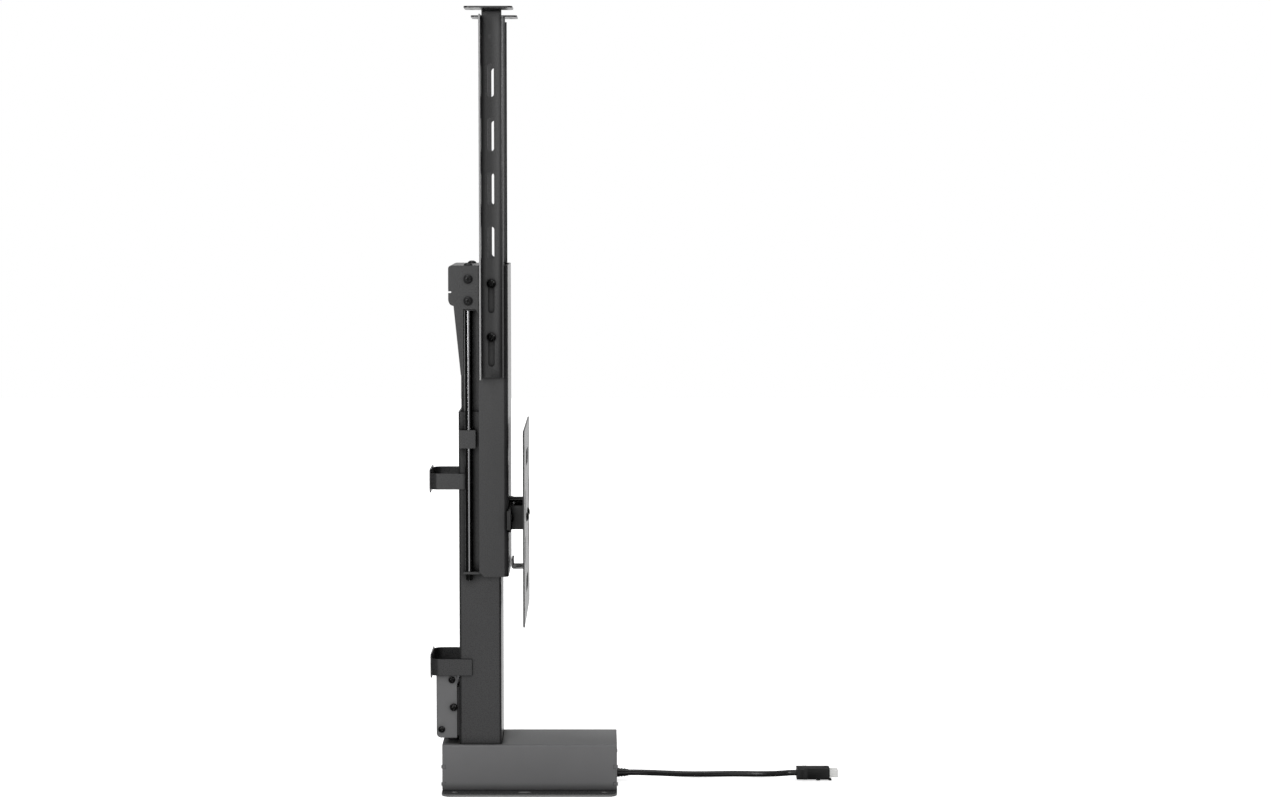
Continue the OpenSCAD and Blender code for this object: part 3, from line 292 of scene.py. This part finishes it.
dress = [
    {"paint": "darkCoat", "slot": "dark_paint", "edge": 0.35,
     "nodes": ["column_foot", "outer_column", "guide_bracket_left", "guide_bracket_right",
               "motor_bracket", "inner_stage", "head_plate", "carriage_sleeve", "rod_head_left",
               "rod_head_right", "rod_foot_left", "rod_foot_right", "hanger_bracket", "screen_plate"]},
    {"paint": "postCoat", "slot": "dark_paint", "edge": 0.5,
     "nodes": ["top_cap", "upper_cable_bracket", "lower_cable_bracket"]},
    # the lower tab is painted light grey: a painted highlight
    {"paint": "flangeEdgeHighlight", "slot": "grey_paint", "edge": 0.3, "nodes": ["lower_tab"]},
    # the posts' flange cut edges take the light grey painted highlight
    {"paint": "postCoat", "slot": "dark_paint", "edge": 0.5,
     "accent": {"where": "flange", "paint": "flangeEdgeHighlight"},
     "nodes": ["lid_post_left", "lid_post_right"]},
    # base plate: dark top, sides painted lighter as a highlight
    {"paint": "darkCoat", "slot": "dark_paint", "edge": 0.5,
     "accent": {"where": "sides", "paint": "plateSideHighlight"}, "nodes": ["base_plate"]},
    {"paint": "greyCoat", "slot": "grey_paint", "edge": 0.6,
     "nodes": ["base_cover", "front_panel", "rear_panel", "motor_housing"]},
    {"paint": "blackRail", "slot": "black_paint", "edge": 0.4, "nodes": ["cross_rail"]},
    {"paint": "rodSteel", "slot": "steel", "edge": 0.4,
     "nodes": ["guide_rod_left", "guide_rod_right"]},
    # bolt sockets are painted near black: painted shade
    {"paint": "blackBolt", "slot": "black_bolts", "edge": 0.2,
     "accent": {"where": "sockets", "paint": "socketShade"},
     "nodes": ["housing_screws", "rail_bolts", "plate_bolts", "post_bolts"]},
    {"paint": "blackBolt", "slot": "black_bolts", "edge": 0.2, "nodes": ["rod_nuts", "hanger_bolt"]},
    # cap bolts: heads in the dark coat, sockets painted near black as shade
    {"paint": "darkCoat", "slot": "black_bolts", "edge": 0.2,
     "accent": {"where": "sockets", "paint": "socketShade"}, "nodes": ["cap_bolts"]},
    {"paint": "zinc", "slot": "zinc", "edge": 0.15,
     "nodes": ["foot_bolts", "post_nuts", "lower_bearing", "upper_bearing", "motor_pinion"]},
    {"paint": "steel", "slot": "steel", "edge": 0.3, "nodes": ["gearbox", "motor", "drive_screw"]},
    {"paint": "blackPlastic", "slot": "black_plastic", "edge": 0.3,
     "nodes": ["glide_pads", "guide_bush_left", "guide_bush_right", "screw_gear", "slide_shoes",
               "connector_body", "connector_latch"]},
    {"paint": "cableRubber", "slot": "black_rubber", "edge": 0.25,
     "nodes": ["wire_grommet", "cord_gland"]},
    {"paint": "palePlastic", "slot": "pale_plastic", "edge": 0.2,
     "nodes": ["screw_guide", "drive_nut", "connector_insert"]},
    {"paint": "board", "slot": "board", "edge": 0.2, "nodes": ["control_board"]},
]
rounding = {"segments": 2, "angle": 38}
merging = {"distance": 1e-6, "flat": 0.5}
socketSides = 6
cutEdge = {"thick": 3, "tall": 100, "slack": 0.1}
facing = {"across": 0.9, "upright": 0.5}

bodies = frame["record"]["behaviour"]["bodies"]
bodyOf = {node: body for body, nodes in bodies.items() for node in nodes}


def spread(face, axis):
    places = [vert.co[axis] for vert in face.verts]
    return max(places) - min(places)


# faces that take the second finish: a bolt's hex socket, painted near black as shade, a plate's narrow
# sides, painted lighter as a highlight, or the cut edge of a post's deep rear flange, painted light
# grey as a highlight
def accentFaces(bm, where):
    if where == "flange":
        tall = [face for face in bm.faces if abs(face.normal.x) > facing["across"]
                and spread(face, 1) < cutEdge["thick"] * mm and spread(face, 2) > cutEdge["tall"] * mm]
        reach = max(abs(face.verts[0].co.x) for face in tall)
        return {face for face in tall if abs(face.verts[0].co.x) > reach - cutEdge["slack"] * mm}
    if where == "sides":
        return {face for face in bm.faces if abs(face.normal.z) < facing["upright"]}
    floors = [face for face in bm.faces if len(face.verts) == socketSides]
    return {wall for face in floors for edge in face.edges for wall in edge.link_faces}


def mergedCopy(node, accent):
    source = frame["nodes"][node]
    bm = bmesh.new()
    bm.from_mesh(source.data)
    bmesh.ops.remove_doubles(bm, verts=bm.verts, dist=merging["distance"])
    bmesh.ops.dissolve_limit(bm, angle_limit=math.radians(merging["flat"]), verts=bm.verts,
                             edges=bm.edges)
    bm.normal_update()
    for face in bm.faces:
        face.material_index = 0
    if accent:
        for face in accentFaces(bm, accent["where"]):
            face.material_index = 1
    mesh = bpy.data.meshes.new(node + "_dressed")
    bm.to_mesh(mesh)
    bm.free()
    return mesh


def dressNode(node, spec):
    accent = spec.get("accent")
    mesh = mergedCopy(node, accent)
    mesh.materials.append(paint[spec["paint"]])
    if accent:
        mesh.materials.append(paint[accent["paint"]])
    obj = newPiece(node + "_shown", mesh, bodyOf[node], spec["slot"], node)
    for poly in mesh.polygons:
        poly.use_smooth = True
    bevel = obj.modifiers.new("edge", "BEVEL")
    bevel.width = spec["edge"] * mm
    bevel.segments = rounding["segments"]
    bevel.limit_method = "ANGLE"
    bevel.angle_limit = math.radians(rounding["angle"])
    bevel.harden_normals = True
    mesh.set_sharp_from_angle(angle=math.radians(rounding["angle"]))
    return obj


for spec in dress:
    for node in spec["nodes"]:
        dressNode(node, spec)


# white room: bright behind the camera, behind the part and overhead, dark to its left and right, so
# that flat faces, grazing faces and upper edges catch light and the turned corners go black
studio = {
    "ambient": 0.02,
    "glow": [
        {"axis": "X", "from": (-0.93, -0.99), "gain": 1.35},
        {"axis": "X", "from": (0.55, 0.9), "gain": 1.0, "fade": (0.06, 0.26, 0.03)},
        {"axis": "Z", "from": (0.3, 0.9), "gain": 0.1},
        {"axis": "Z", "from": (0.8, 0.95), "gain": 1.3},
    ],
}
floorPlane = {
    "half": 6, "glow": (0.7, 1.02), "fade": (1.0, 4.0),
    "colour": (0.86, 0.86, 0.86, 1), "rough": 0.9,
}
lamps = {
    "keyLeft": {"place": (-3.2, 1.15, 1.4), "target": (0, 0, 0.45), "size": (0.5, 2.2), "power": 40},
    "fillRight": {"place": (-1.2, -2.6, 2.4), "target": (0, 0, 0.5), "size": (1.6, 1.6), "power": 20},
    "backFillNear": {"place": (2.6, -2.0, 1.3), "target": (0, 0, 0.45), "size": (1.4, 1.4),
                     "power": 40, "reflected": False},
    "backFillFar": {"place": (2.6, 2.0, 1.3), "target": (0, 0, 0.45), "size": (1.4, 1.4),
                    "power": 40, "reflected": False},
}
white = (1, 1, 1, 1)


def addBand(nodes, links, source, span, levels):
    band = nodes.new("ShaderNodeMapRange")
    band.interpolation_type = "SMOOTHSTEP"
    band.inputs["From Min"].default_value = span[0]
    band.inputs["From Max"].default_value = span[1]
    band.inputs["To Min"].default_value = levels[0]
    band.inputs["To Max"].default_value = levels[1]
    links.new(source, band.inputs["Value"])
    return band.outputs["Result"]


# the camera sees the floor glow, more with distance; reflections look through it
def addFloor():
    bm = bmesh.new()
    bmesh.ops.create_grid(bm, x_segments=1, y_segments=1, size=floorPlane["half"])
    mesh = bpy.data.meshes.new("studio_floor")
    bm.to_mesh(mesh)
    bm.free()
    mat, nodes, links, shader, coord = newMaterial("floorWhite")
    shader.inputs["Base Color"].default_value = floorPlane["colour"]
    shader.inputs["Roughness"].default_value = floorPlane["rough"]
    light = nodes.new("ShaderNodeLightPath")
    glow = nodes.new("ShaderNodeEmission")
    glow.inputs["Color"].default_value = white
    far = nodes.new("ShaderNodeVectorMath")
    far.operation = "LENGTH"
    links.new(coord.outputs["Object"], far.inputs[0])
    strength = addBand(nodes, links, far.outputs["Value"], floorPlane["fade"], floorPlane["glow"])
    links.new(strength, glow.inputs["Strength"])
    add = nodes.new("ShaderNodeAddShader")
    pick = nodes.new("ShaderNodeMixShader")
    out = nodes["Material Output"]
    links.new(shader.outputs["BSDF"], add.inputs[0])
    links.new(glow.outputs["Emission"], add.inputs[1])
    links.new(light.outputs["Is Camera Ray"], pick.inputs["Fac"])
    links.new(shader.outputs["BSDF"], pick.inputs[1])
    links.new(add.outputs["Shader"], pick.inputs[2])
    clear = nodes.new("ShaderNodeBsdfTransparent")
    mirror = nodes.new("ShaderNodeMixShader")
    links.new(light.outputs["Is Glossy Ray"], mirror.inputs["Fac"])
    links.new(pick.outputs["Shader"], mirror.inputs[1])
    links.new(clear.outputs["BSDF"], mirror.inputs[2])
    links.new(mirror.outputs["Shader"], out.inputs["Surface"])
    mesh.materials.append(mat)
    floor = bpy.data.objects.new("studio_floor", mesh)
    bpy.context.scene.collection.objects.link(floor)


def addLamp(name, spec):
    data = bpy.data.lights.new(name, "AREA")
    data.shape = "RECTANGLE"
    data.size, data.size_y = spec["size"]
    data.energy = spec["power"]
    lamp = bpy.data.objects.new(name, data)
    lamp.location = spec["place"]
    way = Vector(spec["target"]) - Vector(spec["place"])
    lamp.rotation_euler = way.to_track_quat("-Z", "Y").to_euler()
    lamp.visible_glossy = spec.get("reflected", True)
    bpy.context.scene.collection.objects.link(lamp)


def addGlow(nodes, links, split, band):
    glow = addBand(nodes, links, split.outputs[band["axis"]], band["from"], (0, band["gain"]))
    if "fade" not in band:
        return glow
    start, end, low = band["fade"]
    fade = nodes.new("ShaderNodeMath")
    fade.operation = "MULTIPLY"
    links.new(glow, fade.inputs[0])
    links.new(addBand(nodes, links, split.outputs["Z"], (start, end), (1, low)), fade.inputs[1])
    return fade.outputs["Value"]


# the camera and clear pieces see plain white, all other rays see the room's bands of light
def setWorld():
    world = bpy.data.worlds.new("studio")
    bpy.context.scene.world = world
    world.use_nodes = True
    nodes, links = world.node_tree.nodes, world.node_tree.links
    coord = nodes.new("ShaderNodeTexCoord")
    split = nodes.new("ShaderNodeSeparateXYZ")
    links.new(coord.outputs["Generated"], split.inputs["Vector"])
    level = None
    for band in studio["glow"]:
        add = nodes.new("ShaderNodeMath")
        add.operation = "ADD"
        links.new(addGlow(nodes, links, split, band), add.inputs[0])
        if level:
            links.new(level, add.inputs[1])
        else:
            add.inputs[1].default_value = studio["ambient"]
        level = add.outputs["Value"]
    room = nodes["Background"]
    room.inputs["Color"].default_value = white
    links.new(level, room.inputs["Strength"])
    plain = nodes.new("ShaderNodeBackground")
    plain.inputs["Color"].default_value = white
    light = nodes.new("ShaderNodeLightPath")
    direct = nodes.new("ShaderNodeMath")
    direct.operation = "MAXIMUM"
    links.new(light.outputs["Is Camera Ray"], direct.inputs[0])
    links.new(light.outputs["Is Transmission Ray"], direct.inputs[1])
    pick = nodes.new("ShaderNodeMixShader")
    links.new(direct.outputs["Value"], pick.inputs["Fac"])
    links.new(room.outputs["Background"], pick.inputs[1])
    links.new(plain.outputs["Background"], pick.inputs[2])
    links.new(pick.outputs["Shader"], nodes["World Output"].inputs["Surface"])


addFloor()
for name, spec in lamps.items():
    addLamp(name, spec)
setWorld()
bpy.context.scene.view_settings.view_transform = "Standard"
print("studio set:", len(lamps), "lamps")
